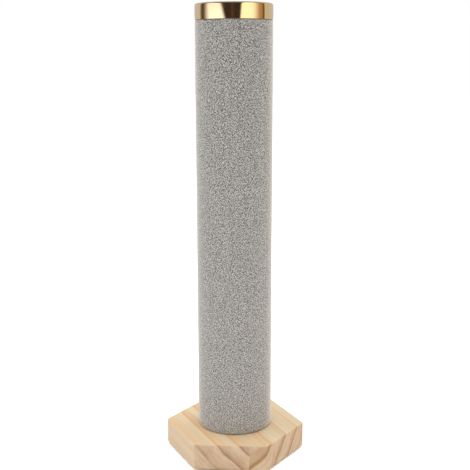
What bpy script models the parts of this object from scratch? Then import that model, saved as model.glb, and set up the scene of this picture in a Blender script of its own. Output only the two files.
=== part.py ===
"""Column stand for bracelets: a pile-cloth column with a drawn brass cap, bolted to a hexagonal pine base.

The base is glued up from two staves and stands on six pads. The column is a paperboard tube with a plug glued
in at each end. One countersunk bolt runs up through the base into a threaded insert in the foot plug.
Units are metres. The origin is on the table, on the column's axis, with +Z up and the base's corners on X.
"""

import math

import bmesh
import bpy
from mathutils import Matrix

# Base
ACROSS_FLATS = 0.0826
BASE_THICKNESS = 0.0170
CORNER_RADIUS = 0.0025
ARRIS_RADIUS = 0.0010
JOINT_OFFSET = 0.0099  # the glue joint's distance from the column's axis
JOINT_DIRECTION = math.radians(210)  # from the axis square to the joint, and across the grain

# Pads under the base
PAD_COUNT = 6
PAD_DIAMETER = 0.0100
PAD_THICKNESS = 0.0010
PAD_INSET = 0.0120  # from a corner of the base to the middle of its pad
PAD_EDGE_RADIUS = 0.0003

# Column, measured up from the base's top face
COLUMN_HEIGHT = 0.2810
TUBE_DIAMETER = 0.0476
TUBE_WALL = 0.0025
TUBE_EDGE_RADIUS = 0.0002
FOOT_PLUG_LENGTH = 0.0250
TOP_PLUG_LENGTH = 0.0120
PLUG_CHAMFER = 0.0010

# Pile cloth round the tube
CLOTH_THICKNESS = 0.0009
CLOTH_BEND_RADIUS = 0.0005  # inside the bend where it turns under the tube
HEM_WIDTH = 0.0080
SEAM_GAP = 0.0004

# Brass cap
CAP_HEIGHT = 0.0102
CAP_WALL = 0.0009
CAP_SHOULDER_RADIUS = 0.0012
CAP_LIP_RADIUS = 0.0003

# Bolt and threaded insert
BOLT_DIAMETER = 0.0060
BOLT_REACH = 0.0130  # how far its tip stands inside the insert
BOLT_HEAD_DIAMETER = 0.0120
BOLT_HEAD_LAND = 0.0004
BOLT_HEAD_RECESS = 0.0006
BOLT_TIP_CHAMFER = 0.0008
HEX_SOCKET = 0.0040
HEX_SOCKET_DEPTH = 0.0024
INSERT_DIAMETER = 0.0100
INSERT_LENGTH = 0.0150
INSERT_FLANGE_DIAMETER = 0.0130
INSERT_TAPER = 0.0010
BORE_RUNOUT = 0.0020  # empty end of the foot plug's bore

# Clearances
FIT_GAP = 0.0003  # between pieces that are glued, seated or screwed together
CUT_MARGIN = 0.0020  # how far a cutter runs past what it cuts

# Facets
ROUND_STEPS = 96
SMALL_ROUND_STEPS = 32
FILLET_STEPS = 4
SMALL_FILLET_STEPS = 2
SHARP_ANGLE = math.radians(30)

# Heights that the pieces share
base_bottom = PAD_THICKNESS + FIT_GAP
base_top = base_bottom + BASE_THICKNESS
hem_bottom = base_top + FIT_GAP
hem_top = hem_bottom + CLOTH_THICKNESS
tube_bottom = hem_top + FIT_GAP
cap_top = base_top + COLUMN_HEIGHT
cap_bottom = cap_top - CAP_HEIGHT
tube_top = cap_top - CAP_WALL - FIT_GAP
bolt_tip = hem_bottom + BOLT_REACH
insert_top = tube_bottom + INSERT_LENGTH

# Radii that the pieces share
base_corner = ACROSS_FLATS / math.sqrt(3)
tube_radius = TUBE_DIAMETER / 2
tube_bore = tube_radius - TUBE_WALL
cloth_radius = tube_radius + FIT_GAP + CLOTH_THICKNESS
cap_radius = tube_radius + FIT_GAP + CAP_WALL
cap_inner_shoulder = max(CAP_SHOULDER_RADIUS - CAP_WALL, CAP_SHOULDER_RADIUS / 10)
bolt_radius = BOLT_DIAMETER / 2
bolt_head_radius = BOLT_HEAD_DIAMETER / 2
insert_radius = INSERT_DIAMETER / 2


def clear_scene():
    for obj in list(bpy.data.objects):
        bpy.data.objects.remove(obj)


def make_collection(name, hidden=False):
    collection = bpy.data.collections.new(name)
    collection.hide_render = hidden
    bpy.context.scene.collection.children.link(collection)
    return collection


def make_material(name, colour, roughness, metallic=0.0):
    material = bpy.data.materials.new(name)
    material.use_nodes = True
    shader = material.node_tree.nodes["Principled BSDF"]
    shader.inputs["Base Color"].default_value = (*colour, 1.0)
    shader.inputs["Roughness"].default_value = roughness
    shader.inputs["Metallic"].default_value = metallic
    material.diffuse_color = (*colour, 1.0)
    return material


def add_object(name, mesh, material=None, parent=None):
    """A part of the stand, or a cutter if it has no material."""
    obj = bpy.data.objects.new(name, mesh)
    if material is None:
        cutters.objects.link(obj)
        obj.hide_render = True
        obj.display_type = "WIRE"
    else:
        stand.objects.link(obj)
        mesh.materials.append(material)
    obj.parent = parent
    return obj


def add_empty(name, height, parent=None):
    empty = bpy.data.objects.new(name, None)
    empty.empty_display_size = 0.02
    empty.location.z = height
    empty.parent = parent
    stand.objects.link(empty)
    return empty


def freeze(obj):
    """Turns an object's modifiers into its mesh, smooth but for its sharp edges."""
    bpy.context.view_layer.update()
    evaluated = obj.evaluated_get(bpy.context.evaluated_depsgraph_get())
    mesh = bpy.data.meshes.new_from_object(evaluated)
    obj.modifiers.clear()
    obj.data = mesh
    mesh.shade_smooth()
    mesh.set_sharp_from_angle(angle=SHARP_ANGLE)
    return obj


def arc(centre, radius, start, end, steps=FILLET_STEPS):
    """Points (r, z) round a centre, from one angle to another, in degrees."""
    points = []
    for i in range(steps + 1):
        angle = math.radians(start + (end - start) * i / steps)
        points.append((centre[0] + radius * math.cos(angle), centre[1] + radius * math.sin(angle)))
    return points


def profile_mesh(name, points, closed):
    """A line of edges in the XZ plane, for a Screw to turn."""
    bm = bmesh.new()
    verts = [bm.verts.new((r, 0, z)) for r, z in points]
    for a, b in zip(verts, verts[1:]):
        bm.edges.new((a, b))
    if closed:
        bm.edges.new((verts[-1], verts[0]))
    mesh = bpy.data.meshes.new(name)
    bm.to_mesh(mesh)
    bm.free()
    return mesh


def add_screw(obj, steps, angle=math.tau):
    screw = obj.modifiers.new("Turn", "SCREW")
    screw.axis = "Z"
    screw.angle = angle
    screw.steps = screw.render_steps = steps
    screw.use_merge_vertices = angle == math.tau
    screw.merge_threshold = 0.00001
    return screw


def turned(name, points, material=None, parent=None, steps=ROUND_STEPS, closed=False):
    """A turned piece. Its profile runs down its outer side, and either closes or ends on the axis."""
    obj = add_object(name, profile_mesh(name, points, closed), material, parent)
    add_screw(obj, steps)
    return freeze(obj)


def prism(name, radius, depth, sides, material=None, parent=None, turn=0.0):
    """An upright prism centred on its object's origin, with its first corner turned to an angle from X."""
    bm = bmesh.new()
    bmesh.ops.create_cone(
        bm, segments=sides, radius1=radius, radius2=radius, depth=depth, cap_ends=True,
        matrix=Matrix.Rotation(turn - math.pi / 2, 4, "Z"),
    )
    mesh = bpy.data.meshes.new(name)
    bm.to_mesh(mesh)
    bm.free()
    return add_object(name, mesh, material, parent)


def cut(obj, cutter):
    boolean = obj.modifiers.new("Cut " + cutter.name, "BOOLEAN")
    boolean.operation = "DIFFERENCE"
    boolean.object = cutter


def block(name, size, material=None, parent=None):
    """A box centred on its object's origin."""
    bm = bmesh.new()
    bmesh.ops.create_cube(bm, size=1, matrix=Matrix.Diagonal((*size, 1)))
    mesh = bpy.data.meshes.new(name)
    bm.to_mesh(mesh)
    bm.free()
    return add_object(name, mesh, material, parent)


def joint_cutter(name, side):
    """A block that takes away all of the base on one side of the glue joint, side being 1 or -1."""
    depth = 2 * base_corner
    obj = block(name, (depth, 2 * depth, BASE_THICKNESS + 2 * CUT_MARGIN))
    reach = JOINT_OFFSET + side * (depth - FIT_GAP) / 2
    obj.rotation_euler.z = JOINT_DIRECTION
    obj.location = (
        reach * math.cos(JOINT_DIRECTION),
        reach * math.sin(JOINT_DIRECTION),
        base_bottom + BASE_THICKNESS / 2,
    )
    return obj


def bolt_hole_cutter():
    """The base's clearance hole and countersink, a fit gap wider than the bolt all the way up."""
    hole = bolt_radius + FIT_GAP
    sink = bolt_head_radius + FIT_GAP
    cone_bottom = base_bottom + BOLT_HEAD_RECESS + BOLT_HEAD_LAND
    cone_top = cone_bottom + sink - hole
    points = [
        (0, base_top + CUT_MARGIN),
        (hole, base_top + CUT_MARGIN),
        (hole, cone_top),
        (sink, cone_bottom),
        (sink, base_bottom - CUT_MARGIN),
        (0, base_bottom - CUT_MARGIN),
    ]
    return turned("bolt_hole_cutter", points, steps=SMALL_ROUND_STEPS)


def base_stave(name, cutters_here, parent):
    """One stave: the eased hexagonal plate, less what lies past the glue joint."""
    obj = prism(name, base_corner, BASE_THICKNESS, 6, pine, parent)
    obj.location.z = BASE_THICKNESS / 2
    weights = obj.data.attributes.new("bevel_weight_edge", "FLOAT", "EDGE")
    for edge in obj.data.edges:
        low, high = (obj.data.vertices[i].co.z for i in edge.vertices)
        weights.data[edge.index].value = float(abs(high - low) > BASE_THICKNESS / 2)
    corners = obj.modifiers.new("Round the corners", "BEVEL")
    corners.limit_method = "WEIGHT"
    corners.width = CORNER_RADIUS * math.tan(math.pi / 6)
    corners.segments = FILLET_STEPS
    arrises = obj.modifiers.new("Ease the arrises", "BEVEL")
    arrises.limit_method = "ANGLE"
    arrises.angle_limit = math.radians(70)
    arrises.width = ARRIS_RADIUS
    arrises.segments = FILLET_STEPS
    for cutter in cutters_here:
        cut(obj, cutter)
    return freeze(obj)


def base(parent):
    empty = add_empty("base", base_bottom, parent)
    hole = bolt_hole_cutter()
    base_stave("base_stave_narrow", [joint_cutter("wide_side_cutter", -1)], empty)
    base_stave("base_stave_wide", [joint_cutter("narrow_side_cutter", 1), hole], empty)


def pads(parent):
    """One pad near each corner, with a rounded lower edge."""
    radius = PAD_DIAMETER / 2
    points = [(0, PAD_THICKNESS), (radius, PAD_THICKNESS)]
    points += arc((radius - PAD_EDGE_RADIUS, PAD_EDGE_RADIUS), PAD_EDGE_RADIUS, 0, -90, SMALL_FILLET_STEPS)
    points.append((0, 0))
    for i in range(PAD_COUNT):
        angle = math.tau * i / PAD_COUNT
        pad = turned(f"rest_pad_{i + 1}", points, foam, parent, SMALL_ROUND_STEPS)
        reach = base_corner - PAD_INSET
        pad.location = (reach * math.cos(angle), reach * math.sin(angle), 0)


def tube(parent):
    """The tube, its outer edges eased to sit inside the cap's shoulder and the cloth's bend."""
    top_edge = max(TUBE_EDGE_RADIUS, cap_inner_shoulder - FIT_GAP)
    foot_edge = max(TUBE_EDGE_RADIUS, CLOTH_BEND_RADIUS - FIT_GAP)
    points = [(tube_bore, tube_top)]
    points += arc((tube_radius - top_edge, tube_top - top_edge), top_edge, 90, 0, SMALL_FILLET_STEPS)
    points += arc((tube_radius - foot_edge, tube_bottom + foot_edge), foot_edge, 0, -90, SMALL_FILLET_STEPS)
    points.append((tube_bore, tube_bottom))
    turned("core_tube", points, paperboard, parent, closed=True)


def top_plug(parent):
    radius = tube_bore - FIT_GAP
    bottom = tube_top - TOP_PLUG_LENGTH
    points = [
        (0, tube_top),
        (radius, tube_top),
        (radius, bottom + PLUG_CHAMFER),
        (radius - PLUG_CHAMFER, bottom),
        (0, bottom),
    ]
    turned("top_plug", points, fibreboard, parent)


def foot_plug(parent):
    """The plug that takes the insert, with a blind bore from its underside."""
    radius = tube_bore - FIT_GAP
    top = tube_bottom + FOOT_PLUG_LENGTH
    bore = insert_radius + FIT_GAP
    bore_top = max(insert_top, bolt_tip) + BORE_RUNOUT
    points = [
        (0, top),
        (radius - PLUG_CHAMFER, top),
        (radius, top - PLUG_CHAMFER),
        (radius, tube_bottom),
        (bore, tube_bottom),
        (bore, bore_top),
        (0, bore_top),
    ]
    turned("foot_plug", points, fibreboard, parent)


def cloth(parent):
    """Pile cloth glued round the tube, butted in a seam at the back and folded in under the tube's foot."""
    radius = cloth_radius
    turn = CLOTH_BEND_RADIUS + CLOTH_THICKNESS
    points = [(radius, cap_bottom - FIT_GAP)]
    points += arc((radius - turn, hem_bottom + turn), turn, 0, -90)
    points.append((radius - HEM_WIDTH, hem_bottom))
    obj = add_object("pile_cloth", profile_mesh("pile_cloth", points, closed=False), pile, parent)
    seam_angle = SEAM_GAP / radius
    add_screw(obj, ROUND_STEPS, math.tau - seam_angle)
    thickness = obj.modifiers.new("Cloth thickness", "SOLIDIFY")
    thickness.thickness = CLOTH_THICKNESS
    thickness.offset = -1
    thickness.use_even_offset = True
    freeze(obj)
    obj.rotation_euler.z = math.pi / 2 + seam_angle / 2


def cap(parent):
    """A drawn cup that slips over the tube's end, flush with the cloth."""
    inner = cap_radius - CAP_WALL
    shoulder = CAP_SHOULDER_RADIUS
    inner_shoulder = cap_inner_shoulder
    ceiling = cap_top - CAP_WALL
    lip = min(CAP_LIP_RADIUS, 0.45 * CAP_WALL)
    few = SMALL_FILLET_STEPS
    points = [(0, cap_top)]
    points += arc((cap_radius - shoulder, cap_top - shoulder), shoulder, 90, 0)
    points += arc((cap_radius - lip, cap_bottom + lip), lip, 0, -90, few)
    points += arc((inner + lip, cap_bottom + lip), lip, -90, -180, few)
    points += arc((inner - inner_shoulder, ceiling - inner_shoulder), inner_shoulder, 0, 90, few)
    points.append((0, ceiling))
    turned("top_cap", points, brass, parent)


def threaded_insert(parent):
    """A flanged insert screwed up into the foot plug, its flange in the hole that the hem leaves."""
    flange = INSERT_FLANGE_DIAMETER / 2
    bore = bolt_radius + FIT_GAP
    points = [
        (bore, insert_top),
        (insert_radius - INSERT_TAPER, insert_top),
        (insert_radius, insert_top - INSERT_TAPER),
        (insert_radius, hem_top),
        (flange, hem_top),
        (flange, hem_bottom),
        (bore, hem_bottom),
    ]
    turned("threaded_insert", points, zinc, parent, SMALL_ROUND_STEPS, closed=True)


def bolt(parent):
    """A countersunk bolt with a hexagon socket, its head sunk in the base's underside."""
    face = base_bottom + BOLT_HEAD_RECESS
    cone_bottom = face + BOLT_HEAD_LAND
    points = [
        (0, bolt_tip),
        (bolt_radius - BOLT_TIP_CHAMFER, bolt_tip),
        (bolt_radius, bolt_tip - BOLT_TIP_CHAMFER),
        (bolt_radius, cone_bottom + bolt_head_radius - bolt_radius),
        (bolt_head_radius, cone_bottom),
        (bolt_head_radius, face),
        (0, face),
    ]
    obj = turned("assembly_bolt", points, steel, parent, SMALL_ROUND_STEPS)
    depth = HEX_SOCKET_DEPTH + CUT_MARGIN
    socket = prism("hex_socket_cutter", HEX_SOCKET / math.sqrt(3), depth, 6)
    socket.location.z = face + HEX_SOCKET_DEPTH - depth / 2
    cut(obj, socket)
    freeze(obj)


clear_scene()
stand = make_collection("bracelet_column_stand")
cutters = make_collection("cutters", hidden=True)

pine = make_material("pine", (0.72, 0.53, 0.33), 0.55)
pile = make_material("grey pile cloth", (0.34, 0.32, 0.29), 0.95)
brass = make_material("polished brass", (0.88, 0.65, 0.30), 0.12, 1.0)
paperboard = make_material("paperboard", (0.42, 0.31, 0.20), 0.85)
fibreboard = make_material("fibreboard", (0.36, 0.25, 0.16), 0.80)
steel = make_material("zinc-plated steel", (0.60, 0.61, 0.62), 0.30, 1.0)
zinc = make_material("cast zinc alloy", (0.48, 0.48, 0.50), 0.40, 1.0)
foam = make_material("black foam", (0.03, 0.03, 0.03), 0.90)

root = add_empty("stand", 0)
base(root)
pads(root)
tube(root)
top_plug(root)
foot_plug(root)
cloth(root)
cap(root)
threaded_insert(root)
bolt(root)
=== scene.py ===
# Looks of the bracelet column stand: grey pile cloth on a tube, a polished cap, a glued pine base.
# All lengths are metres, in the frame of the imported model: +Z up, the table at z = 0.

import math
import bmesh
import bpy
from mathutils import Matrix, Vector


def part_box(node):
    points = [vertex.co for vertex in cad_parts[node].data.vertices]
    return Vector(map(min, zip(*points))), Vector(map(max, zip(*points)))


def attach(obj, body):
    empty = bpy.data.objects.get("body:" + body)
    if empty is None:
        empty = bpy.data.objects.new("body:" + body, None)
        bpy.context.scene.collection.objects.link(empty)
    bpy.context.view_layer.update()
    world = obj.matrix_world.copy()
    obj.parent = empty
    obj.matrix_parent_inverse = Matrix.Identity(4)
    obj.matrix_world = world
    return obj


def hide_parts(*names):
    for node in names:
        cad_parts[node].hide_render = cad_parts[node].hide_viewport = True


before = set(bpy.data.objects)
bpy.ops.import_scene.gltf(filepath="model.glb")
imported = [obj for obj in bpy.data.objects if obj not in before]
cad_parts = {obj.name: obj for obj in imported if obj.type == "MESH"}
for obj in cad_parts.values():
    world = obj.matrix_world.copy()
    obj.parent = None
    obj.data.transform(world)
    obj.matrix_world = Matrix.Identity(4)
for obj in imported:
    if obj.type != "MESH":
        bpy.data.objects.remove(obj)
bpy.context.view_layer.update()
mm = 0.001


# Small helpers


def hexToLinear(code):
    parts = [int(code[i:i + 2], 16) / 255 for i in (0, 2, 4)]
    return tuple(c / 12.92 if c <= 0.04045 else ((c + 0.055) / 1.055) ** 2.4 for c in parts) + (1.0,)


def add(tree, kind, *values, out=0, **settings):
    # adds a node and gives one of its outputs, or all with out=None; a second word in kind is the operation
    # values go to the inputs in order, or a dictionary's by name or number, and a socket among them is linked
    kind, _, operation = kind.partition(" ")
    node = tree.nodes.new(kind if "Node" in kind else "ShaderNode" + kind)
    if operation:
        node.operation = operation
    for key, value in settings.items():
        setattr(node, key, value)
    inputs = values[0] if values and isinstance(values[0], dict) else dict(enumerate(values))
    for key, value in inputs.items():
        if isinstance(value, bpy.types.NodeSocket):
            tree.links.new(value, node.inputs[key])
        else:
            node.inputs[key].default_value = value
    return node.outputs if out is None else node.outputs[out]


rgba = {"out": 2, "data_type": "RGBA"}  # the colour side of a Mix node: 0 is its factor, 6 and 7 its colours
noiseBand = (0.3, 0.7)  # most of a noise lies between these


def setStops(output, stops):
    # the (place, colour) pairs of the ramp that this output belongs to; a plain number stands for a grey
    elements = output.node.color_ramp.elements
    while len(elements) < len(stops):
        elements.new(1.0)
    for element, (place, colour) in zip(elements, sorted(stops, key=lambda stop: stop[0])):
        element.position = place
        element.color = colour if isinstance(colour, tuple) else (colour, colour, colour, 1)
    return output


def objectPoint(tree, turn=0.0):
    # object coordinates in millimetres, turned about Z, so that the patterns' sizes are in mm
    coordinate = add(tree, "TexCoord", out="Object")
    return add(tree, "Mapping", {0: coordinate, 2: (0, 0, turn), 3: (1 / mm, 1 / mm, 1 / mm)})


def mottle(tree, point, cell, drawn=None, detail=2.0, rough=0.5, band=noiseBand, to=None):
    # noise with cells of so many mm, drawn out along axes with a share under 1; its band may go to two values
    if drawn:
        point = add(tree, "Mapping", {0: point, 3: drawn})
    level = add(tree, "TexNoise", {"Vector": point, "Scale": 1 / cell, "Detail": detail, "Roughness": rough})
    return add(tree, "MapRange", level, *band, *to) if to else level


def newMaterial(name, **fixed):
    # a material with its node tree; what is the same all over is set on the shader's own sockets
    material = bpy.data.materials.new(name)
    material.use_nodes = True
    shader = material.node_tree.nodes["Principled BSDF"]
    for key, value in fixed.items():
        shader.inputs[key].default_value = value
    return material, material.node_tree


def wire(tree, colour=None, shade=None, roughness=None, *, height, depth, strength):
    # links the patterns to the shader: a colour times its shade, a roughness, and a bump of so many metres
    inputs = tree.nodes["Principled BSDF"].inputs
    if shade is not None:
        colour = add(tree, "Mix", {0: 1.0, 6: colour, 7: shade}, blend_type="MULTIPLY", **rgba)
    bump = add(tree, "Bump", {"Strength": strength, "Distance": depth, "Height": height})
    for key, value in (("Base Color", colour), ("Roughness", roughness), ("Normal", bump)):
        if value is not None:
            tree.links.new(value, inputs[key])


def arc(centre, radius, start, end, steps):
    # points (r, z) round a centre, angles in degrees
    points = []
    for i in range(steps + 1):
        angle = math.radians(start + (end - start) * i / steps)
        points.append((centre[0] + radius * math.cos(angle), centre[1] + radius * math.sin(angle)))
    return points


def meshFrom(name, bm):
    mesh = bpy.data.meshes.new(name)
    bm.to_mesh(mesh)
    bm.free()
    return mesh


def addObject(name, mesh, material):
    obj = bpy.data.objects.new(name, mesh)
    bpy.context.scene.collection.objects.link(obj)
    mesh.materials.clear()
    mesh.materials.append(material)
    return obj


def lathe(profile, segments):
    # turns a profile, top to bottom on its outer side, into a bmesh; ends on the axis become poles
    bm = bmesh.new()
    rings = []
    for r, z in profile:
        if r == 0:
            rings.append([bm.verts.new((0, 0, z))])
            continue
        turn = [math.tau * i / segments for i in range(segments)]
        rings.append([bm.verts.new((r * math.cos(a), r * math.sin(a), z)) for a in turn])
    for upper, lower in zip(rings, rings[1:]):
        for i in range(segments):
            j = (i + 1) % segments
            corners = [ring[k % len(ring)] for ring, k in ((upper, i), (lower, i), (lower, j), (upper, j))]
            bm.faces.new(list(dict.fromkeys(corners)))
    bmesh.ops.recalc_face_normals(bm, faces=bm.faces)
    return bm


def smooth(obj, angle=30):
    obj.data.shade_smooth()
    obj.data.set_sharp_from_angle(angle=math.radians(angle))


def bake(obj):
    # modifiers into the mesh
    bpy.context.view_layer.update()
    mesh = bpy.data.meshes.new_from_object(obj.evaluated_get(bpy.context.evaluated_depsgraph_get()))
    obj.modifiers.clear()
    obj.data = mesh


def evenNormals(obj):
    weigh = obj.modifiers.new("Even normals", "WEIGHTED_NORMAL")
    weigh.keep_sharp = True
    bake(obj)


def cutAway(obj, cutter):
    cut = obj.modifiers.new("Cut", "BOOLEAN")
    cut.object = cutter
    cut.operation = "DIFFERENCE"
    bake(obj)
    bpy.data.objects.remove(cutter)


def nodeTree(name, inputs):
    # a Geometry Nodes tree with named inputs; gives the tree, the inputs' sockets and their identifiers
    tree = bpy.data.node_groups.new(name, "GeometryNodeTree")
    identifiers = {}
    for label, kind, value in inputs:
        socket = tree.interface.new_socket(label, in_out="INPUT", socket_type="NodeSocket" + kind)
        if value is not None:
            socket.default_value = value
        identifiers[label] = socket.identifier
    tree.interface.new_socket("Geometry", in_out="OUTPUT", socket_type="NodeSocketGeometry")
    return tree, add(tree, "NodeGroupInput", out=None), identifiers


def finishTree(tree, geometry, material):
    whole = add(tree, "GeometryNodeRealizeInstances", geometry)
    dressed = add(tree, "GeometryNodeSetMaterial", {"Geometry": whole, "Material": material})
    add(tree, "NodeGroupOutput", dressed, out=None)


def grow(name, tree, identifiers, material, **values):
    # a plain mesh from a tree, whose inputs are set before it is first evaluated
    obj = addObject(name, bpy.data.meshes.new(name), material)
    modifier = obj.modifiers.new("Grow", "NODES")
    modifier.node_group = tree
    for label, value in values.items():
        modifier[identifiers[label]] = value
    bake(obj)
    return obj


def settle(obj, slot, *nodes):
    # the piece rides on the only body, and stands for its CAD nodes
    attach(obj, "root")
    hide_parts(*nodes)
    print(f"{obj.name}: {len(obj.data.polygons)} faces")


# The sizes that the frame gives

clothLow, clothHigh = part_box("pile_cloth")
capLow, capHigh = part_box("top_cap")
staveLow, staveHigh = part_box("base_stave_wide")
padLow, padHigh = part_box("rest_pad_1")
boltLow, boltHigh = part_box("assembly_bolt")
insertLow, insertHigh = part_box("threaded_insert")
baseTop = staveHigh.z
baseBottom = staveLow.z


# Camera: as the photograph was taken, worked out from the base's corners and the column's sides

cameraSpec = {
    "distance": 0.5690,  # level distance from the column's axis
    "height": 0.2464,  # above the base's top
    "azimuth": 4.286,  # degrees round from straight in front
    "yaw": 0.040,
    "pitch": 11.406,  # degrees down
    "roll": -0.120,
    "lens": 66.69,  # mm
    "sensor": 36,  # mm wide
    "clip": (0.01, 50),
}


def makeCamera(spec):
    camera = bpy.data.objects.new("camera", bpy.data.cameras.new("camera"))
    bpy.context.scene.collection.objects.link(camera)
    camera.data.lens = spec["lens"]
    camera.data.sensor_width = spec["sensor"]
    camera.data.clip_start, camera.data.clip_end = spec["clip"]
    around = Matrix.Rotation(math.radians(spec["azimuth"]), 4, "Z")
    place = around @ Matrix.Translation((0, -spec["distance"], baseTop + spec["height"]))
    aim = Matrix.Rotation(math.radians(-spec["yaw"]), 4, "Z")
    tilt = Matrix.Rotation(math.radians(90 - spec["pitch"]), 4, "X")
    roll = Matrix.Rotation(math.radians(spec["roll"]), 4, "Z")
    camera.matrix_world = place @ aim @ tilt @ roll
    bpy.context.scene.camera = camera


makeCamera(cameraSpec)
print("camera placed")


# Pine: growth rings round each stave's own pith, which lies above the stave

pineSpec = {
    "grain": -60,  # degrees from X of the grain's direction, along the left front edge
    "endGrain": (0.25, 0.7),  # how squarely a face cuts the fibres where end grain starts to show and is full
    "paintedPaleSideEarly": "E4D1B6",  # upright faces along the grain are painted paler than the top: a painted reflection of the bright room, which washes them out
    "endEarly": "D9C09F",
    "endBlush": "CFAA8C",  # pinkish patches in the end grain
    "ringReach": 80.0,  # mm from the pith, for distances round a ring
    "margins": (12, 8),  # mm of wood past the first ring and the last that the tones still cover
    "wobble": 1.4,  # mm that a ring strays from its circle
    "bend": {"cell": 14.0, "drawn": (0.15, 1, 1)},  # of the rings, slow along the grain
    "flush": {"cell": 7.0, "band": (0.35, 0.65), "to": (0, 1)},  # reddish latewood
    "blush": {"cell": 2.0, "drawn": (1, 0.25, 1), "detail": 3, "band": (0.42, 0.68), "to": (0, 1)},
    # fibres are too fine to show, so bundles of them are drawn
    "streaks": {"cell": 0.5, "drawn": (0.03, 1, 1), "detail": 3, "rough": 0.6},
    "streakShade": (0.955, 1.035),
    "bands": {"cell": 2.2, "drawn": (0.02, 1, 0.6), "detail": 3, "rough": 0.65, "band": (0.35, 0.65),
              "to": (0.95, 1.04)},
    "clouds": {"cell": 5.0, "drawn": (0.08, 1, 1), "to": (0.97, 1.03)},
    "rays": {"cell": 0.35, "detail": 1, "band": (0.35, 0.65), "to": (0.96, 1.03)},  # across the rings
    "roughness": (0.48, 0.62),
    "relief": 0.03 * mm,
    "lateRelief": 0.6,  # how far the hard latewood stands up, against the streaks
}
# rings: radius of the outer edge, depth of the latewood, mm that it fades over, tone of the earlywood
narrowStave = {
    "pith": (38.0, 42.0),  # mm across the grain, and above the top
    "rings": [(58.1, 0.6, 6, 0), (68.5, 0.85, 7, 0), (78.6, 0.85, 7, 0), (89.3, 0.55, 10, 0),
              (99.6, 0.4, 5, 0.3)],
    "early": "E4CDAB",
    "late": "DAAB70",
    "endLate": "916640",
    "endRed": "AA7552",  # reddish stretches of the latewood
}
wideStave = {
    "pith": (-80.0, 60.0),
    "rings": [(82, 0.4, 5, 0), (93.6, 0.35, 5, 0), (104.8, 0.95, 15, 0.1), (117.9, 1.0, 6, 0),
              (128.6, 1.0, 4, 0), (138.5, 0.5, 5, 0)],
    "early": "DDC9A6",
    "late": "DAB78C",
    "endLate": "9A7042",
    "endRed": "B27F42",
}


# how dark the wood is about a ring's edge: the place, in fades before it or in mm past it, and the share
sharpEdge = ((-1, 0), (-0.6, 0.24), (-0.2, 0.5), (-0.09, 1.0), (0.4, 0))
softEdge = ((-1, 0), (-0.6, 0.35), (-0.22, 0.6), (-0.05, 1.0), (0.96, 0))


def ringTone(tree, radius, rings, shape, paleness):
    # 0 in pale earlywood, 1 in the darkest latewood
    before, past = pineSpec["margins"]
    first, last = rings[0][0] - before, rings[-1][0] + past
    stops = [(0.0, 0.0), (1.0, 0.0)]
    for (edge, depth, fade, pale), after in zip(rings, rings[1:] + [(0, 0, 0, 0)]):
        for offset, share in shape:
            place = edge + (offset * fade if offset < 0 else offset)
            floor = (pale if offset < 0 else after[3]) * paleness
            stops.append(((place - first) / (last - first), floor + (depth - floor) * share))
    return setStops(add(tree, "ValToRGB", add(tree, "MapRange", radius, first, last)), stops)


def pineMaterial(name, stave):
    # planed and sanded pine under a thin matt seal: solid rings, fibre streaks, rays on the end grain
    spec = pineSpec
    tones = {key: hexToLinear(code) for key, code in (spec | stave).items() if isinstance(code, str)}
    material, tree = newMaterial(name, **{"Specular IOR Level": 0.4})
    point = objectPoint(tree, math.radians(-spec["grain"]))
    across, up = add(tree, "SeparateXYZ", point, out=None)[1:]
    bend = add(tree, "Math SUBTRACT", mottle(tree, point, **spec["bend"]), 0.5)
    sideways = add(tree, "Math SUBTRACT", across, stave["pith"][0])
    height = add(tree, "Math SUBTRACT", up, stave["pith"][1] + baseTop / mm)
    squares = [add(tree, "Math MULTIPLY", side, side) for side in (sideways, height)]
    radius = add(tree, "Math SQRT", add(tree, "Math ADD", *squares))
    radius = add(tree, "Math ADD", radius, add(tree, "Math MULTIPLY", bend, spec["wobble"] * 2))
    turn = add(tree, "Math MULTIPLY", add(tree, "Math ARCTAN2", sideways, height), spec["ringReach"])
    ring = add(tree, "CombineXYZ", radius, turn)
    endGrain, upright = (add(tree, "Attribute", out="Fac", attribute_name=key)
                         for key in ("endGrain", "upright"))

    sharp = ringTone(tree, radius, stave["rings"], sharpEdge, 0.2)
    soft = ringTone(tree, radius, stave["rings"], softEdge, 1.0)
    tone = add(tree, "Mix", {0: endGrain, 2: soft, 3: sharp})
    flush, blush = mottle(tree, point, **spec["flush"]), mottle(tree, ring, **spec["blush"])
    endLate = add(tree, "Mix", {0: flush, 6: tones["endLate"], 7: tones["endRed"]}, **rgba)
    endEarly = add(tree, "Mix", {0: blush, 6: tones["endEarly"], 7: tones["endBlush"]}, **rgba)
    # upright faces get the paler earlywood, a painted reflection of the bright room
    early = add(tree, "Mix", {0: upright, 6: tones["early"], 7: tones["paintedPaleSideEarly"]}, **rgba)
    early = add(tree, "Mix", {0: endGrain, 6: early, 7: endEarly}, **rgba)
    late = add(tree, "Mix", {0: endGrain, 6: tones["late"], 7: endLate}, **rgba)
    wood = add(tree, "Mix", {0: tone, 6: early, 7: late}, **rgba)

    streaks = mottle(tree, point, **spec["streaks"])
    shade = add(tree, "MapRange", streaks, *noiseBand, *spec["streakShade"])
    shade = add(tree, "Math MULTIPLY", shade, mottle(tree, point, **spec["bands"]))
    rays = mottle(tree, add(tree, "CombineXYZ", turn), **spec["rays"])
    shade = add(tree, "Mix", {0: endGrain, 2: shade, 3: rays})
    shade = add(tree, "Math MULTIPLY", shade, mottle(tree, point, **spec["clouds"]))
    relief = add(tree, "Math ADD", streaks, add(tree, "Math MULTIPLY", tone, spec["lateRelief"]))
    roughness = add(tree, "MapRange", streaks, *noiseBand, *spec["roughness"])
    wire(tree, wood, shade, roughness, height=relief, depth=spec["relief"], strength=0.6)
    return material


# Base: a hexagonal plate with rounded corners and eased arrises, parted at the glue joint

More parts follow.
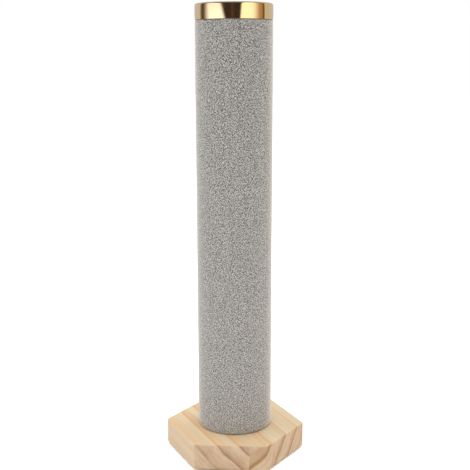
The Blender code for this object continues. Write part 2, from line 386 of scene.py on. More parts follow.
baseSpec = {
    "acrossFlats": staveHigh.y - staveLow.y,
    "corner": 2.5 * mm,
    "arris": 1.0 * mm,
    "joint": 9.9 * mm,  # from the axis, square to the joint
    "jointAngle": 210,
    "jointGap": 0.02 * mm,
    "cornerSteps": 8,
    "arrisSteps": 5,
    "boltHole": 3.3 * mm,
    "countersink": 6.3 * mm,
    "sinkDepth": 1.0 * mm,  # straight part of the countersink
    "holeSegments": 96,
}


def basePlate(spec):
    thickness = baseTop - baseBottom
    bm = bmesh.new()
    radius = spec["acrossFlats"] / math.sqrt(3)
    place = Matrix.Translation((0, 0, (baseTop + baseBottom) / 2))
    bmesh.ops.create_cone(bm, segments=6, radius1=radius, radius2=radius, depth=thickness, cap_ends=True,
                          matrix=place @ Matrix.Rotation(math.pi / 2, 4, "Z"))
    corner = spec["corner"] * math.tan(math.pi / 6)  # a sixth of a turn at each corner
    bevels = ((True, corner, spec["cornerSteps"]), (False, spec["arris"], spec["arrisSteps"]))
    for upright, offset, steps in bevels:
        edges = [e for e in bm.edges if (abs(e.verts[0].co.z - e.verts[1].co.z) > thickness / 2) == upright]
        bmesh.ops.bevel(bm, geom=edges, offset=offset, offset_type="OFFSET", segments=steps, profile=0.5,
                        affect="EDGES")
    return bm


def baseStave(name, spec, side, material, node, hole=None):
    bm = basePlate(spec)
    angle = math.radians(spec["jointAngle"])
    normal = Vector((math.cos(angle), math.sin(angle), 0))
    where = normal * (spec["joint"] + side * spec["jointGap"] / 2)
    bmesh.ops.bisect_plane(bm, geom=bm.verts[:] + bm.edges[:] + bm.faces[:], plane_co=where, plane_no=normal,
                           clear_outer=side < 0, clear_inner=side > 0)
    bmesh.ops.holes_fill(bm, edges=[e for e in bm.edges if e.is_boundary], sides=0)
    bmesh.ops.recalc_face_normals(bm, faces=bm.faces)
    obj = addObject(name, meshFrom(name, bm), material)
    if hole:
        cutAway(obj, hole)
    smooth(obj)
    evenNormals(obj)
    grain = math.radians(pineSpec["grain"])
    along = Vector((math.cos(grain), math.sin(grain), 0))
    low, high = pineSpec["endGrain"]
    faces = obj.data.polygons
    carried = {
        "endGrain": [min(1.0, max(0.0, (abs(face.normal.dot(along)) - low) / (high - low)))
                     for face in faces],
        # how far a face is upright, for the paler earlywood of its painted reflection
        "upright": [1 - abs(face.normal.z) for face in faces],
    }
    for label, shares in carried.items():
        obj.data.attributes.new(label, "FLOAT", "FACE").data.foreach_set("value", shares)
    settle(obj, "pine", node)


def boltHole(spec, material):
    hole, sink = spec["boltHole"], spec["countersink"]
    straight = baseBottom + spec["sinkDepth"]
    above, below = baseTop + mm, baseBottom - mm
    profile = [(0, above), (hole, above), (hole, straight + sink - hole)]
    profile += [(sink, straight), (sink, below), (0, below)]
    return addObject("boltHole", meshFrom("boltHole", lathe(profile, spec["holeSegments"])), material)


pineNarrow = pineMaterial("Sanded pine, narrow stave", narrowStave)
pineWide = pineMaterial("Sanded pine, wide stave", wideStave)
baseStave("narrowStave", baseSpec, 1, pineNarrow, "base_stave_narrow")
baseStave("wideStave", baseSpec, -1, pineWide, "base_stave_wide", boltHole(baseSpec, pineWide))
print("base made")


# Cap: a drawn cup, polished and gold plated, turned at a finer step than the solid

capSpec = {
    "radius": capHigh.x,
    "wall": 0.9 * mm,
    "shoulder": 1.2 * mm,
    "innerShoulder": 0.3 * mm,
    "lip": 0.15 * mm,
    "crown": 0.1 * mm,  # how far the wall swells between its ends
    "lean": 8,  # degrees that the wall leans where it meets the shoulder and the lip
    "shoulderSteps": 12,
    "wallSteps": 8,
    "lipSteps": 6,
    "innerSteps": 4,
    "segments": 256,
    "gold": "F7E0AF",
    "wipes": {"cell": 1.5, "drawn": (1, 1, 0.15), "detail": 4, "rough": 0.6, "to": (0.05, 0.12)},
    "waves": {"cell": 6.0, "detail": 1},  # left by the drawing and the buffing wheel
}


def capMaterial(spec):
    # thin gold plate over polished brass: a mirror with faint wipe marks in its gloss
    fixed = {"Base Color": hexToLinear(spec["gold"]), "Metallic": 1.0}
    material, tree = newMaterial("Polished gold plate", **fixed)
    point = objectPoint(tree)
    wire(tree, roughness=mottle(tree, point, **spec["wipes"]), height=mottle(tree, point, **spec["waves"]),
         depth=0.01 * mm, strength=0.5)
    return material


def cap(spec):
    outer, wall, shoulder, lip = spec["radius"], spec["wall"], spec["shoulder"], spec["lip"]
    top, bottom, crown, within = capHigh.z, capLow.z, spec["crown"], spec["innerShoulder"]
    inner, lean, lipSteps = outer - wall, spec["lean"], spec["lipSteps"]
    profile = [(0, top), (0.5 * outer, top)]
    profile += arc((outer - crown - shoulder, top - shoulder), shoulder, 90, lean, spec["shoulderSteps"])
    low, high = bottom + lip, top - shoulder
    for i in range(1, spec["wallSteps"]):
        share = i / spec["wallSteps"]
        profile.append((outer - crown * (2 * share - 1) ** 2, high + (low - high) * share))
    profile += arc((outer - crown - lip, bottom + lip), lip, -lean, -90, lipSteps)
    profile += arc((inner + lip, bottom + lip), lip, -90, -180, lipSteps)
    profile += arc((inner - within, top - wall - within), within, 0, 90, spec["innerSteps"])
    profile += [(0, top - wall)]
    obj = addObject("cap", meshFrom("cap", lathe(profile, spec["segments"])), capMaterial(spec))
    obj.data.shade_smooth()
    evenNormals(obj)
    settle(obj, "polished_brass", "top_cap")


cap(capSpec)
print("cap made")


# Pile cloth: one sheet round the tube, butted at the back and turned in under the foot

clothSpec = {
    "radius": clothHigh.x,
    "thickness": 0.9 * mm,
    "bend": 0.5 * mm,  # inside the fold at the foot
    "hem": 8.0 * mm,
    "seamGap": 0.15 * mm,
    "cutEdge": ((0.4 * mm, 0.0), (0.1 * mm, 0.3), (0.0, 2 / 3)),  # how far each top row is drawn in, its pile
    "columns": 224,
    "rows": 386,
    "foldSteps": 6,
    "thinning": 0.12,  # of the pile, at each step round the fold
    "hemPile": 0.2,
    "relief": 0.06 * mm,  # from the bottom of the pile's furrows to its tufts
    "tuft": 1.5,  # mm across the tufts that stand out as relief
    # the pile's own curls and fibres are finer than the render can show, so both are drawn coarser
    "curl": 1.0,  # mm across a curl
    "scatter": 0.6,  # how unevenly the curls stand, from 0 to 1
    "lean": 0.5,  # radians that their rows lean from the upright
    "stray": 0.25,  # mm that they wander
    "fibre": 0.8,  # mm between the bent fibres that lie over the curls
    "curlShare": 0.72,  # of the pile's height, where fibres give from fibreShare's first to its second
    "fibreBand": (0.5, 1.6),
    "fibreShare": (-0.05, 0.4),
    "middle": 0.6,  # the height that keeps its tone when the contrast changes
    "contrast": (0.53, 0.79),  # of the pile's tones, at the foot and at the top
    "fade": 0.065,  # painted light: how much paler the pile is painted at the foot, where the floor throws light up, and darker at the top, as painted shade
    "ends": (20.0, 290.0),  # mm above the table of that foot and that top
    "tones": ((0.2, "393633"), (0.63, "999793"), (0.93, "F4F0E8")),  # painted shade in the furrows, the pile's own grey, painted light on the tips
    "haze": {"Sheen Weight": 1.0, "Sheen Roughness": 0.41, "Sheen Tint": hexToLinear("F2EDE6")},
}


def curls(tree, point, size, stray, scatter=1.0, flank=(0.1, 0.85), **settings):
    # 1 on the tufts and 0 in the furrows; flank is where a tuft starts and ends to fall, in sizes
    drift = add(tree, "TexNoise", {"Vector": point, "Scale": 1 / size, "Detail": 3.0}, out=1)
    drift = add(tree, "VectorMath SUBTRACT", drift, (0.5, 0.5, 0.5))
    drift = add(tree, "VectorMath SCALE", {0: drift, "Scale": stray * 2})
    place = add(tree, "VectorMath ADD", point, drift)
    inputs = {"Vector": place, "Scale": 1 / size, "Randomness": scatter}
    cells = add(tree, "TexVoronoi", inputs, out="Distance", **settings)
    return add(tree, "MapRange", cells, *flank, 1.0, 0.0)


def clothMaterial(spec):
    # short brushed pile, felted into small curls: painted shade in the furrows, painted light on the tufts, a
    # haze at grazing angles
    fixed = {"Roughness": 0.95, "Specular IOR Level": 0.1, **spec["haze"]}
    material, tree = newMaterial("Grey brushed pile", **fixed)
    point = objectPoint(tree)
    x, y, up = add(tree, "SeparateXYZ", point, out=None)
    angle = add(tree, "Math ARCTAN2", x, add(tree, "Math MULTIPLY", y, -1.0))
    around = add(tree, "Math MULTIPLY", angle, spec["radius"] / mm)  # mm round the column from the front
    unrolled = add(tree, "Mapping", {0: add(tree, "CombineXYZ", around, up), 2: (0, 0, spec["lean"])})
    high = curls(tree, unrolled, spec["curl"], spec["stray"], spec["scatter"], voronoi_dimensions="2D")
    ridges = {"Vector": point, "Scale": 1 / spec["fibre"], "Roughness": 0.6, "Offset": 1.0, "Gain": 1.0}
    fibres = add(tree, "TexNoise", ridges, noise_type="RIDGED_MULTIFRACTAL")
    fibres = add(tree, "MapRange", fibres, *spec["fibreBand"], *spec["fibreShare"])
    height = add(tree, "Math MULTIPLY_ADD", high, spec["curlShare"], fibres)
    contrast = add(tree, "MapRange", up, *spec["ends"], *spec["contrast"])
    tone = add(tree, "Math SUBTRACT", height, spec["middle"])
    tone = add(tree, "Math MULTIPLY_ADD", tone, contrast, spec["middle"])
    # the ramp paints shade into the furrows and light onto the tufts, over the pile's own grey
    stops = [(place, hexToLinear(code)) for place, code in spec["tones"]]
    body = setStops(add(tree, "ValToRGB", tone), stops)
    # painted light from the floor at the foot, fading to painted shade at the top
    fade = add(tree, "MapRange", up, *spec["ends"], 1 + spec["fade"], 1 - spec["fade"])
    wire(tree, body, fade, height=height, depth=0.12 * mm, strength=0.5)
    return material


def clothOutline(spec):
    # the sheet's closed cross-section, as rows of points (r, z) and how much pile each carries
    thick, bend = spec["thickness"], spec["bend"]
    outer, top, foot = spec["radius"], clothHigh.z, clothLow.z
    turn, steps = bend + thick, spec["foldSteps"]
    rows = []
    for i in range(spec["rows"]):
        z = top + (foot + turn - top) * i / spec["rows"]
        rows.append((outer, z, 1.0))
    for i, (inward, pile) in enumerate(spec["cutEdge"]):
        rows[i] = (outer - inward, rows[i][1], pile)
    inner, hemEnd = outer - turn, outer - spec["hem"]
    fold = arc((inner, foot + turn), turn, 0, -90, steps)
    rows += [(r, z, 1.0 - spec["thinning"] * i) for i, (r, z) in enumerate(fold)]
    rows += [(inner + (hemEnd - inner) * i / steps, foot, spec["hemPile"]) for i in range(1, steps + 1)]
    rows += [(hemEnd + (inner - hemEnd) * i / 3, foot + thick, 0.0) for i in range(4)]
    rows += [(r, z, 0.0) for r, z in arc((inner, foot + turn), bend, -90, 0, 3)[1:]]
    rows += [(outer - thick, foot + turn + (top - foot - turn) * i / 4, 0.0) for i in range(1, 5)]
    return rows


def gridPlaces(tree, columns):
    # the row and the column of each point of a grid
    index = add(tree, "GeometryNodeInputIndex")
    row = add(tree, "Math DIVIDE", add(tree, "Math ADD", index, 0.5), columns)
    row = add(tree, "Math FLOOR", row)
    return row, add(tree, "Math SUBTRACT", index, add(tree, "Math MULTIPLY", row, columns))


def wrap(tree, angle, radius, height):
    # the direction at an angle round the axis, and the place at a radius and a height there
    direction = add(tree, "CombineXYZ", add(tree, "Math COSINE", angle), add(tree, "Math SINE", angle))
    level = add(tree, "VectorMath SCALE", {0: direction, "Scale": radius})
    return direction, add(tree, "VectorMath ADD", level, add(tree, "CombineXYZ", 0.0, 0.0, height))


def clothTree(spec, material):
    # wraps a grid round the axis by the outline's rows, then presses the pile's furrows into it
    tree, given, identifiers = nodeTree("wrapCloth", (
        ("Outline", "Object", None),
        ("Rows", "Int", 10),
        ("Columns", "Int", spec["columns"]),
        ("Seam Angle", "Float", spec["seamGap"] / spec["radius"]),
        ("Relief", "Float", spec["relief"]),
    ))
    outline = add(tree, "GeometryNodeObjectInfo", {"Object": given["Outline"]}, out="Geometry")
    grid = add(tree, "GeometryNodeMeshGrid", {"Vertices X": given["Rows"], "Vertices Y": given["Columns"]})
    row, column = gridPlaces(tree, given["Columns"])
    share = add(tree, "Math DIVIDE", column, add(tree, "Math SUBTRACT", given["Columns"], 1.0))
    sweep = add(tree, "Math SUBTRACT", math.tau, given["Seam Angle"])
    start = add(tree, "Math MULTIPLY_ADD", given["Seam Angle"], 0.5, math.pi / 2)  # the seam is at the back
    angle = add(tree, "Math MULTIPLY_ADD", share, sweep, start)
    place = add(tree, "GeometryNodeInputPosition")
    at = add(tree, "GeometryNodeSampleIndex", {"Geometry": outline, "Value": place, "Index": row},
             data_type="FLOAT_VECTOR", clamp=True)
    pile = add(tree, "GeometryNodeInputNamedAttribute", {"Name": "pile"}, data_type="FLOAT")
    pile = add(tree, "GeometryNodeSampleIndex", {"Geometry": outline, "Value": pile, "Index": row},
               data_type="FLOAT", clamp=True)
    r, _, z = add(tree, "SeparateXYZ", at, out=None)
    direction, wrapped = wrap(tree, angle, r, z)
    sheet = add(tree, "GeometryNodeSetPosition", {"Geometry": grid, "Position": wrapped})
    inMm = add(tree, "VectorMath SCALE", {0: place, "Scale": 1 / mm})
    high = curls(tree, inMm, spec["tuft"], spec["stray"])
    depth = add(tree, "Math MULTIPLY", add(tree, "Math SUBTRACT", high, 1.0), given["Relief"])
    depth = add(tree, "Math MULTIPLY", depth, pile)
    push = add(tree, "VectorMath SCALE", {0: direction, "Scale": depth})
    finishTree(tree, add(tree, "GeometryNodeSetPosition", {"Geometry": sheet, "Offset": push}), material)
    return tree, identifiers


def cloth(spec):
    material = clothMaterial(spec)
    rows = clothOutline(spec)
    outlineMesh = bpy.data.meshes.new("outline")
    outlineMesh.from_pydata([(r, 0, z) for r, z, pile in rows], [], [])
    carried = outlineMesh.attributes.new("pile", "FLOAT", "POINT")
    carried.data.foreach_set("value", [pile for r, z, pile in rows])
    outline = bpy.data.objects.new("outline", outlineMesh)
    bpy.context.scene.collection.objects.link(outline)
    tree, identifiers = clothTree(spec, material)
    obj = grow("pileCloth", tree, identifiers, material, Outline=outline, Rows=len(rows))
    bpy.data.objects.remove(outline)
    bm = bmesh.new()
    bm.from_mesh(obj.data)
    bm.verts.ensure_lookup_table()
    count = spec["columns"]
    first = (len(rows) - 1) * count
    for i in range(count - 1):  # the outline's last row meets its first at the cut top edge
        bm.faces.new([bm.verts[first + i], bm.verts[first + i + 1], bm.verts[i + 1], bm.verts[i]])
    bmesh.ops.holes_fill(bm, edges=[e for e in bm.edges if e.is_boundary], sides=0)  # the two seam edges
    bmesh.ops.recalc_face_normals(bm, faces=bm.faces)
    bm.to_mesh(obj.data)
    bm.free()
    obj.data.materials.clear()
    obj.data.materials.append(material)
    smooth(obj, 60)
    settle(obj, "pile_cloth", "pile_cloth")


cloth(clothSpec)
print("cloth made")


# Fasteners: helical threads wrapped by Geometry Nodes, welded to lathed heads and tips

threadTurn = 6  # rows of the mesh in one turn
threadColumns = 48
threadFlank = (0.46, 0.08)  # from a crest's edge to a root's, in pitches from the root's middle
threadMerge = 2e-6  # metres between points that become one
zincSpec = {
    "crystal": 1.4,  # mm across
    "crystalShare": 0.4,  # against the blotches
    "blotches": {"cell": 0.5, "detail": 3, "rough": 0.6},
    "band": (0.2, 0.8),
    "shade": (0.86, 1.06),
}

boltSpec = {
    "radius": 3.0 * mm,
    "pitch": 1.0 * mm,
    "depth": 0.6 * mm,
    "chamfer": 0.8 * mm,
    "land": 0.4 * mm,
    "plain": 1.5 * mm,  # under the head's cone
    "throat": (0.5 * mm, 0.05 * mm, 0.2 * mm),  # where cone and shank meet: two heights, the lower's swell
    "socket": 4.0 * mm,  # across flats
    "socketDepth": 2.4 * mm,
    "edge": 0.15 * mm,
    "colour": "C9CCD0",
    "roughness": (0.22, 0.4),
}
insertSpec = {
    "radius": 5.0 * mm,
    "pitch": 2.2 * mm,
    "depth": 0.7 * mm,
    "taper": 1.0 * mm,
    "bore": 3.3 * mm,
    "boreDepth": -0.45 * mm,  # its thread is cut outwards
    "borePitch": 1.0 * mm,
    "boreLead": (0.5 * mm, 0.4 * mm),  # plain stretch at the mouth, and the taper at the top
    "flange": (insertHigh.x, clothLow.z + 0.9 * mm),
    "edge": 0.15 * mm,
    "colour": "B4B3AE",
    "roughness": (0.38, 0.55),
}


def zincMaterial(name, spec, colour, roughness):
    # metal with a mottled finish: the gloss and the tone change a little over a few millimetres
    material, tree = newMaterial(name, **{"Metallic": 1.0})
    point = objectPoint(tree)
    spangle = add(tree, "TexVoronoi", {"Vector": point, "Scale": 1 / spec["crystal"]}, out="Color")
    level = add(tree, "Math MULTIPLY", add(tree, "SeparateColor", spangle), spec["crystalShare"])
    blotches = mottle(tree, point, **spec["blotches"])
    level = add(tree, "Math MULTIPLY_ADD", blotches, 1 - spec["crystalShare"], level)
    shade, gloss = (add(tree, "MapRange", level, *spec["band"], *to) for to in (spec["shade"], roughness))
    wire(tree, hexToLinear(colour), shade, gloss, height=level, depth=0.02 * mm, strength=0.4)
    return material


def threadTree(name):
    # a sheared grid: its rows climb by a turn per turn, so that crests follow the helix and the seam welds
    tree, given, identifiers = nodeTree(name, (
        ("Radius", "Float", 0.003),
        ("Depth", "Float", 0.0005),
        ("Pitch", "Float", 0.001),
        ("Bottom", "Float", 0.0),
        ("Top", "Float", 0.01),
        ("Taper", "Float", 0.001),
        ("Material", "Material", None),
    ))
    bottom, top, pitch = given["Bottom"], given["Top"], given["Pitch"]
    turns = add(tree, "Math DIVIDE", add(tree, "Math SUBTRACT", top, bottom), pitch)
    turns = add(tree, "Math CEIL", turns)
    rows = add(tree, "Math MULTIPLY_ADD", turns, threadTurn, threadTurn + 1)
    columns = threadColumns + 1
    grid = add(tree, "GeometryNodeMeshGrid", {"Vertices X": rows, "Vertices Y": columns})
    row, column = gridPlaces(tree, columns)
    angle = add(tree, "Math MULTIPLY", column, math.tau / threadColumns)
    climb = add(tree, "Math SUBTRACT", add(tree, "Math DIVIDE", column, threadColumns), 1.0)
    climb = add(tree, "Math ADD", add(tree, "Math DIVIDE", row, threadTurn), climb)
    height = add(tree, "Math MULTIPLY_ADD", climb, pitch, bottom)
    height = add(tree, "Math MINIMUM", add(tree, "Math MAXIMUM", height, bottom), top)
    phase = add(tree, "Math FRACT", add(tree, "Math DIVIDE", row, threadTurn))
    fromRoot = add(tree, "Math ABSOLUTE", add(tree, "Math SUBTRACT", phase, 0.5))
    groove = add(tree, "MapRange", fromRoot, *threadFlank)
    runOut = add(tree, "MapRange", height, bottom, add(tree, "Math ADD", bottom, pitch))
    lead = add(tree, "MapRange", height, add(tree, "Math SUBTRACT", top, given["Taper"]), top)
    cut = add(tree, "Math MAXIMUM", add(tree, "Math MULTIPLY", groove, runOut), lead)
    radius = add(tree, "Math SUBTRACT", given["Radius"], add(tree, "Math MULTIPLY", cut, given["Depth"]))
    place = wrap(tree, angle, radius, height)[1]
    wound = add(tree, "GeometryNodeSetPosition", {"Geometry": grid, "Position": place})
    welded = add(tree, "GeometryNodeMergeByDistance", {"Geometry": wound, "Distance": threadMerge})
    finishTree(tree, welded, given["Material"])
    return tree, identifiers


threadGroup = threadTree("turnThread")


def threadMesh(material, **values):
    holder = grow("thread", *threadGroup, material, Material=material, **values)
    mesh = holder.data
    bpy.data.objects.remove(holder)
    return mesh


def weld(name, threads, profiles, material):
    # threads and lathed ends, open shells that share their end rings, become one closed piece
    bm = bmesh.new()
    for mesh in threads + [meshFrom("end", lathe(profile, threadColumns)) for profile in profiles]:
        bm.from_mesh(mesh)
    bmesh.ops.remove_doubles(bm, verts=bm.verts, dist=2 * threadMerge)
    bmesh.ops.recalc_face_normals(bm, faces=bm.faces)
    return addObject(name, meshFrom(name, bm), material)


def bolt(spec):
    material = zincMaterial("Zinc plated steel", zincSpec, spec["colour"], spec["roughness"])
    radius, depth, head, edge = spec["radius"], spec["depth"], boltHigh.x, spec["edge"]
    face, tip = boltLow.z, boltHigh.z
    cone = face + spec["land"]
    shoulder = cone + head - radius
    start = shoulder + spec["plain"]
    thread = threadMesh(material, Radius=radius, Depth=depth, Pitch=spec["pitch"], Bottom=start, Top=tip,
                        Taper=spec["chamfer"])
    nose = [(0, tip), (radius - depth, tip)]
    high, low, swell = spec["throat"]
    countersunk = [(radius, start), (radius, shoulder + high), (radius + swell, shoulder + low)]
    countersunk += [(head - edge, cone + edge), (head, cone), (head, face + edge), (head - edge, face)]
    countersunk += [(0.6 * head, face), (0, face)]
    obj = weld("bolt", [thread], (nose, countersunk), material)
    key = bmesh.new()
    corner = spec["socket"] / math.sqrt(3)
    reach = spec["socketDepth"] + mm
    bmesh.ops.create_cone(key, segments=6, radius1=corner, radius2=corner, depth=reach, cap_ends=True,
                          matrix=Matrix.Translation((0, 0, face - mm + reach / 2)))
    cutAway(obj, addObject("socket", meshFrom("socket", key), material))
    smooth(obj, 40)
    settle(obj, "zinc_plated_steel", "assembly_bolt")


def insert(spec):
    material = zincMaterial("Cast zinc alloy", zincSpec, spec["colour"], spec["roughness"])
    top, bottom = insertHigh.z, insertLow.z
    wide, step = spec["flange"]
    edge, bore = spec["edge"], spec["bore"]
    mouth, lead = spec["boreLead"]
    outside = threadMesh(material, Radius=spec["radius"], Depth=spec["depth"], Pitch=spec["pitch"],
                         Bottom=step, Top=top, Taper=spec["taper"])
    inside = threadMesh(material, Radius=bore, Depth=spec["boreDepth"], Pitch=spec["borePitch"],
                        Bottom=bottom + mouth, Top=top, Taper=lead)
    crown = [(bore - spec["boreDepth"], top), (spec["radius"] - spec["depth"], top)]
    flange = [(spec["radius"], step), (wide - edge, step), (wide, step - edge), (wide, bottom + edge)]
    flange += [(wide - edge, bottom), (bore + edge, bottom), (bore, bottom + edge), (bore, bottom + mouth)]
    obj = weld("insert", [outside, inside], (crown, flange), material)
    smooth(obj, 40)
    settle(obj, "zinc_alloy", "threaded_insert")


bolt(boltSpec)
insert(insertSpec)
print("fasteners made")


# Pads: six foam discs, set out by Geometry Nodes

padSpec = {
    "count": 6,
    "radius": (padHigh.x - padLow.x) / 2,
    "reach": (padHigh.x + padLow.x) / 2,
    "edge": 0.35 * mm,
    "upperEdge": 0.1 * mm,
    "glue": 0.02 * mm,  # under the base
    "edgeSteps": 6,
    "segments": 48,
    "foam": "3A3A3C",
    "pit": 0.28,  # mm across a cell of the foam
    "paintedPitShade": (0.1, 0.7, 0.8, 1.12),  # a cell's middle and wall, in cells, and the shade of each: painted shade in each pit's middle, lighter at its wall
    "dust": {"cell": 3.0, "detail": 3, "rough": 0.6, "to": (0.9, 1.15)},
}


def foamMaterial(spec):
    # closed-cell foam, die-cut: fine pits of about a quarter of a millimetre
    material, tree = newMaterial("Dark closed-cell foam", **{"Roughness": 0.85, "Specular IOR Level": 0.3})
    point = objectPoint(tree)
    cells = add(tree, "TexVoronoi", {"Vector": point, "Scale": 1 / spec["pit"]}, out="Distance")
    # painted shade: the pits are darker in their middles, where they are deepest
    pits = add(tree, "MapRange", cells, *spec["paintedPitShade"])
    shade = add(tree, "Math MULTIPLY", pits, mottle(tree, point, **spec["dust"]))
    wire(tree, hexToLinear(spec["foam"]), shade, height=cells, depth=0.08 * mm, strength=0.6)
    return material


def pads(spec):
    material = foamMaterial(spec)
    radius, edge, upper = spec["radius"], spec["edge"], spec["upperEdge"]
    top = baseBottom - spec["glue"]
    profile = [(0, top), (radius - upper, top), (radius, top - upper)]
    profile += arc((radius - edge, padLow.z + edge), edge, 0, -90, spec["edgeSteps"]) + [(0, padLow.z)]
    disc = addObject("disc", meshFrom("disc", lathe(profile, spec["segments"])), material)
    disc.data.shade_smooth()
    tree, given, identifiers = nodeTree("setPads", (
        ("Disc", "Object", None),
        ("Count", "Int", spec["count"]),
        ("Reach", "Float", spec["reach"]),
    ))
    circle = add(tree, "GeometryNodeMeshCircle", {"Vertices": given["Count"], "Radius": given["Reach"]})
    one = add(tree, "GeometryNodeObjectInfo", {"Object": given["Disc"]}, out="Geometry")
    finishTree(tree, add(tree, "GeometryNodeInstanceOnPoints", {"Points": circle, "Instance": one}), material)
    obj = grow("pads", tree, identifiers, material, Disc=disc)
    bpy.data.objects.remove(disc)
    smooth(obj, 40)
    settle(obj, "foam", *[f"rest_pad_{i + 1}" for i in range(spec["count"])])


pads(padSpec)
print("pads made")


# Tube and plugs keep their solids and get materials of their own

coreSpec = {
    "kraft": hexToLinear("B08B62"),
    "kraftDark": hexToLinear("9A7650"),
    "pulpTone": (0.0, 0.7),
    "ply": 62.0,  # mm up the tube from one spiral seam to the next
    "seam": 0.008,  # half its width, as a share of the ply
    "pulp": {"cell": 0.6, "drawn": (1, 1, 0.35), "detail": 4, "rough": 0.65},
    "clouds": {"cell": 9.0, "detail": 3, "to": (0.0, 0.3)},
    "fibreboard": hexToLinear("A9855C"),
    "fleck": hexToLinear("C5A57C"),
    "fleckBand": (0.42, 0.72),
    "felt": {"cell": 0.5, "drawn": (1, 1, 2.5), "detail": 4, "rough": 0.7},
    "lumps": {"cell": 2.5, "to": (-0.1, 0.15)},
}


def kraftMaterial(spec):
    # spirally wound kraft paperboard: a seam round the tube, fibre flecks, a faint machine-direction streak
    material, tree = newMaterial("Spiral-wound kraft board", **{"Roughness": 0.8, "Specular IOR Level": 0.3})
    point = objectPoint(tree)
    x, y, z = add(tree, "SeparateXYZ", point, out=None)
    turn = add(tree, "Math DIVIDE", add(tree, "Math ARCTAN2", y, x), math.tau)
    wind = add(tree, "Math ADD", add(tree, "Math DIVIDE", z, spec["ply"]), turn)
    wind = add(tree, "Math SUBTRACT", add(tree, "Math FRACT", wind), 0.5)
    seam = add(tree, "MapRange", add(tree, "Math ABSOLUTE", wind), spec["seam"], 0.0)
    fibres = mottle(tree, point, **spec["pulp"])
    tone = add(tree, "MapRange", fibres, *noiseBand, *spec["pulpTone"])
    tone = add(tree, "Math ADD", tone, mottle(tree, point, **spec["clouds"]))
    tone = add(tree, "Math MAXIMUM", tone, seam)
    colour = add(tree, "Mix", {0: tone, 6: spec["kraft"], 7: spec["kraftDark"]}, **rgba)
    wire(tree, colour, height=add(tree, "Math SUBTRACT", fibres, seam), depth=0.05 * mm, strength=0.5)
    return material


def fibreboardMaterial(spec):
    # turned medium-density fibreboard: short pale fibres in a brown felt
    material, tree = newMaterial("Turned fibreboard", **{"Roughness": 0.85, "Specular IOR Level": 0.25})
    point = objectPoint(tree)
    fibres = mottle(tree, point, **spec["felt"])
    tone = add(tree, "MapRange", fibres, *spec["fleckBand"])
    tone = add(tree, "Math ADD", tone, mottle(tree, point, **spec["lumps"]), use_clamp=True)
    colour = add(tree, "Mix", {0: tone, 6: spec["fibreboard"], 7: spec["fleck"]}, **rgba)
    wire(tree, colour, height=fibres, depth=0.06 * mm, strength=0.5)
    return material


def dress(material, *nodes):
    for node in nodes:
        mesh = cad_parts[node].data
        mesh.materials.clear()
        mesh.materials.append(material)


dress(kraftMaterial(coreSpec), "core_tube")
dress(fibreboardMaterial(coreSpec), "top_plug", "foot_plug")
print("core dressed")


# Floor and light: two softboxes at the sides, a dark room behind the camera, a bright backdrop all round

lightSpec = {
    # the room, also as mirrors see it: between two places, -1 in front and 1 behind, it goes up by two levels
    "room": (-0.3, 0.7, 0.71, 0.85),
    "ceiling": (-0.3, 0.6, 0.27, 0.6),
    "floorReach": 6,
    "floorTone": 0.85,
    "floorGain": 0.65,  # for the camera only, so that the floor is white where the stand throws no shadow
    "floorMirror": 0.4,  # how bright the floor is in the cap's polish
    "aim": 0.15,  # height that the lamps point at
    "reach": 0.9,  # from the axis to the softboxes
    "cardEnds": (0.002, 1.2),  # heights of a card's foot and top
    "cardSteps": 48,
    # name, tint, size, glow, degrees from the camera's side (right positive), distance, height
    "lamps": (
        ("topLamp", "FFFFFF", (1.6, 1.6), 2.0, 180, 0.1, 1.8),
        ("leftLamp", "F0F5FF", (0.4, 0.4), 1.35, -78, 0.7, 0.12),
        ("rightLamp", "FFE9D6", (0.4, 0.4), 0.5, 78, 0.7, 0.2),
        ("leftRim", "FFFFFF", (0.5, 0.5), 1.6, -138, 1.2, 0.27),
        ("rightRim", "FFE8D2", (0.5, 0.5), 4.4, 138, 1.2, 0.27),
        ("lowFill", "FFF9F2", (0.5, 0.2), 0.8, 0, 0.45, 0.1),
    ),
    # what the cap mirrors: name, angles at the foot and at the top, how softly the sides end, glow, setback
    "cards": (
        ("leftSoftbox", (-100, -6), (-100, -90), (34, 13), (1.56, 1.52, 1.7), 0.0),
        ("rightSoftbox", (11, 84), (34, 84), (6, 34), (1.34, 1.28, 1.1), 0.0),
        ("roomGlow", (-14, 5), (-14, 5), (8, 8), (0.08, 0.04, 0.034), 0.03),
        ("curtainFold", (88, 101), (88, 101), (6, 4), (0.14, 0.08, 0.06), 0.04),
        ("leftFold", (-120, -80), (-120, -80), (16, 6), (0.09, 0.07, 0.045), 0.05),
        ("darkRoom", (-108, 66), (-108, 66), (9, 10), (0.04, 0.027, 0.022), 0.06),
        ("warmCurtain", (54, 100), (54, 100), (6, 4), (0.46, 0.24, 0.12), 0.07),
        ("strawWall", (94, 122), (94, 122), (4, 10), (0.6, 0.54, 0.42), 0.08),
        ("backWall", (92, 262), (92, 262), (5, 5), (0.6, 0.57, 0.6), 0.09),
    ),
}


def cardMaterial(name, glow):
    # glows in the middle and fades to nothing at its upright sides
    material = bpy.data.materials.new(name)
    material.use_nodes = True
    tree = material.node_tree
    tree.nodes.clear()
    fade = add(tree, "Attribute", out="Fac", attribute_name="fade")
    fade = add(tree, "MapRange", fade, 0.0, 1.0, interpolation_type="SMOOTHSTEP")
    light = add(tree, "Emission", glow + (1,), 1.0)
    mix = add(tree, "MixShader", fade, add(tree, "BsdfTransparent"), light)
    add(tree, "OutputMaterial", mix, out=None)
    return material


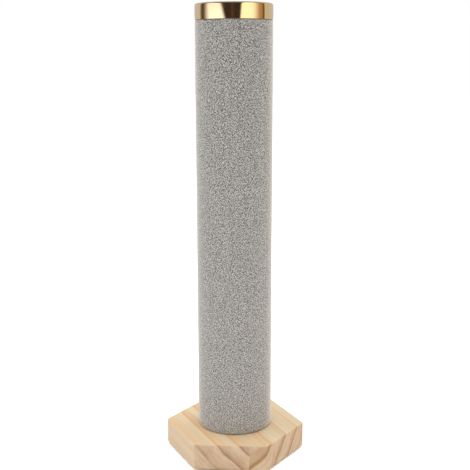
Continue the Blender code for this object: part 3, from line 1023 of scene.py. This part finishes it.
def makeCard(spec, name, foot, top, soft, glow, setback):
    # an upright curved card round the stand
    radius, steps = spec["reach"] + setback, spec["cardSteps"]
    bm = bmesh.new()
    layer = bm.verts.layers.float.new("fade")
    rows = []
    for i in range(steps + 1):
        row = []
        for (start, end), z in zip((foot, top), spec["cardEnds"]):
            degrees = start + (end - start) * i / steps
            a = math.radians(degrees + cameraSpec["azimuth"] - 90)
            vert = bm.verts.new((radius * math.cos(a), radius * math.sin(a), z))
            vert[layer] = min(1.0, (degrees - start) / soft[0], (end - degrees) / soft[1])
            row.append(vert)
        rows.append(row)
    for (a, b), (c, d) in zip(rows, rows[1:]):
        bm.faces.new((a, c, d, b))
    obj = addObject(name, meshFrom(name, bm), cardMaterial(name, glow))
    obj.visible_camera = obj.visible_diffuse = obj.visible_shadow = False


def floorMaterial(spec):
    # matt white, brighter for the camera, so that only the stand's shadow shows on it; pale grey in mirrors
    material, tree = newMaterial("Pale floor", **{"Roughness": 0.9, "Specular IOR Level": 0.0})
    shader = tree.nodes["Principled BSDF"]
    path = add(tree, "LightPath", out=None)
    white = add(tree, "Math MULTIPLY_ADD", path["Is Camera Ray"], spec["floorGain"], spec["floorTone"])
    tree.links.new(white, shader.inputs["Base Color"])
    mirrored = add(tree, "Emission", (1, 1, 1, 1), spec["floorMirror"])
    mix = add(tree, "MixShader", path["Is Glossy Ray"], shader.outputs[0], mirrored)
    tree.links.new(mix, tree.nodes["Material Output"].inputs["Surface"])
    return material


def makeWorld(spec):
    # pale all round and brighter behind the stand, dimmer in mirrors, plain white for the camera
    world = bpy.data.worlds.new("studio")
    bpy.context.scene.world = world
    world.use_nodes = True
    tree = world.node_tree
    tree.nodes.clear()
    azimuth = math.radians(cameraSpec["azimuth"])
    direction = add(tree, "TexCoord", out="Generated")
    back = (-math.sin(azimuth), math.cos(azimuth), 0)
    behind = add(tree, "VectorMath DOT_PRODUCT", direction, back, out="Value")
    levels = [add(tree, "MapRange", behind, *spec[key], interpolation_type="SMOOTHSTEP")
              for key in ("room", "ceiling")]
    soft, dim, white = (add(tree, "Background", (1, 1, 1, 1), level) for level in (*levels, 1.0))
    path = add(tree, "LightPath", out=None)
    room = add(tree, "MixShader", path["Is Glossy Ray"], soft, dim)
    mix = add(tree, "MixShader", path["Is Camera Ray"], room, white)
    add(tree, "OutputWorld", mix, out=None)


def makeLamp(aim, name, tint, size, glow, degrees, away, height):
    # a soft rectangle turned to the middle of the stand; only matt surfaces see it
    lamp = bpy.data.objects.new(name, bpy.data.lights.new(name, "AREA"))
    bpy.context.scene.collection.objects.link(lamp)
    lamp.data.shape = "RECTANGLE"
    lamp.data.size, lamp.data.size_y = size
    lamp.data.energy = glow * math.pi * size[0] * size[1]
    lamp.data.color = hexToLinear(tint)[:3]
    angle = math.radians(degrees + cameraSpec["azimuth"] - 90)
    lamp.location = (away * math.cos(angle), away * math.sin(angle), height)
    lamp.rotation_euler = (Vector((0, 0, aim)) - lamp.location).to_track_quat("-Z", "Y").to_euler()
    lamp.visible_camera = lamp.visible_glossy = False


def makeLight(spec):
    floorMesh = bmesh.new()
    bmesh.ops.create_grid(floorMesh, x_segments=1, y_segments=1, size=spec["floorReach"])
    addObject("floor", meshFrom("floor", floorMesh), floorMaterial(spec))
    makeWorld(spec)
    for card in spec["cards"]:
        makeCard(spec, *card)
    for lamp in spec["lamps"]:
        makeLamp(spec["aim"], *lamp)


bpy.context.scene.view_settings.view_transform = "Standard"
makeLight(lightSpec)
print("light made")
